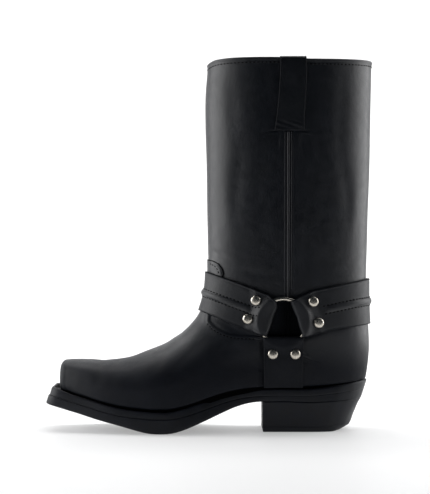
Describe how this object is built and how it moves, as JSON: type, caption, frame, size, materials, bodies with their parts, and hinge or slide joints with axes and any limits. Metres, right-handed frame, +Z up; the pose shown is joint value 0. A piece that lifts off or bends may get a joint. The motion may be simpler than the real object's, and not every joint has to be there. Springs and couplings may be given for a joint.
{
  "type": "harness boot",
  "caption": "Pull-on mid-calf harness boot with a squared toe, hollow leather upper, stitched welt, angled heel and straps riveted to a ring on each side.",
  "frame": {"origin": "middle of the box on the floor that the boot stands on", "axes": "+Z up, toe towards -X, heel towards +X, outer side towards -Y"},
  "size_m": [0.3128, 0.1058, 0.354],
  "materials": {
    "oiled_leather": "black oiled leather with a soft satin shine and fine grain",
    "strap_leather": "black strap leather, satin, with black stitching",
    "trim_leather": "thin black leather, satin",
    "welt_leather": "black dyed edge, slightly polished",
    "insole_leather": "plain brown leather, matt",
    "sole_rubber": "black rubber, satin at the edge and matt below",
    "nickel": "polished nickel plate with a warm tone"
  },
  "bodies": {
    "root": {"upper": "oiled_leather", "insole": "insole_leather", "welt": "welt_leather", "outsole": "sole_rubber", "heel": "sole_rubber", "heel_top_lift": "sole_rubber", "collar_binding": "trim_leather", "strap_front": "strap_leather", "strap_back": "strap_leather", "strap_trim_front": "strap_leather", "strap_trim_back": "strap_leather", "side_strap_outer": "strap_leather", "pull_strap_outer": "trim_leather", "seam_piping_outer": "trim_leather", "ring_outer": "nickel", "rivet_outer_1": "nickel", "rivet_outer_2": "nickel", "rivet_outer_3": "nickel", "rivet_outer_4": "nickel", "rivet_outer_5": "nickel", "rivet_outer_6": "nickel", "side_strap_inner": "strap_leather", "pull_strap_inner": "trim_leather", "seam_piping_inner": "trim_leather", "ring_inner": "nickel", "rivet_inner_1": "nickel", "rivet_inner_2": "nickel", "rivet_inner_3": "nickel", "rivet_inner_4": "nickel", "rivet_inner_5": "nickel", "rivet_inner_6": "nickel"}
  },
  "joints": []
}
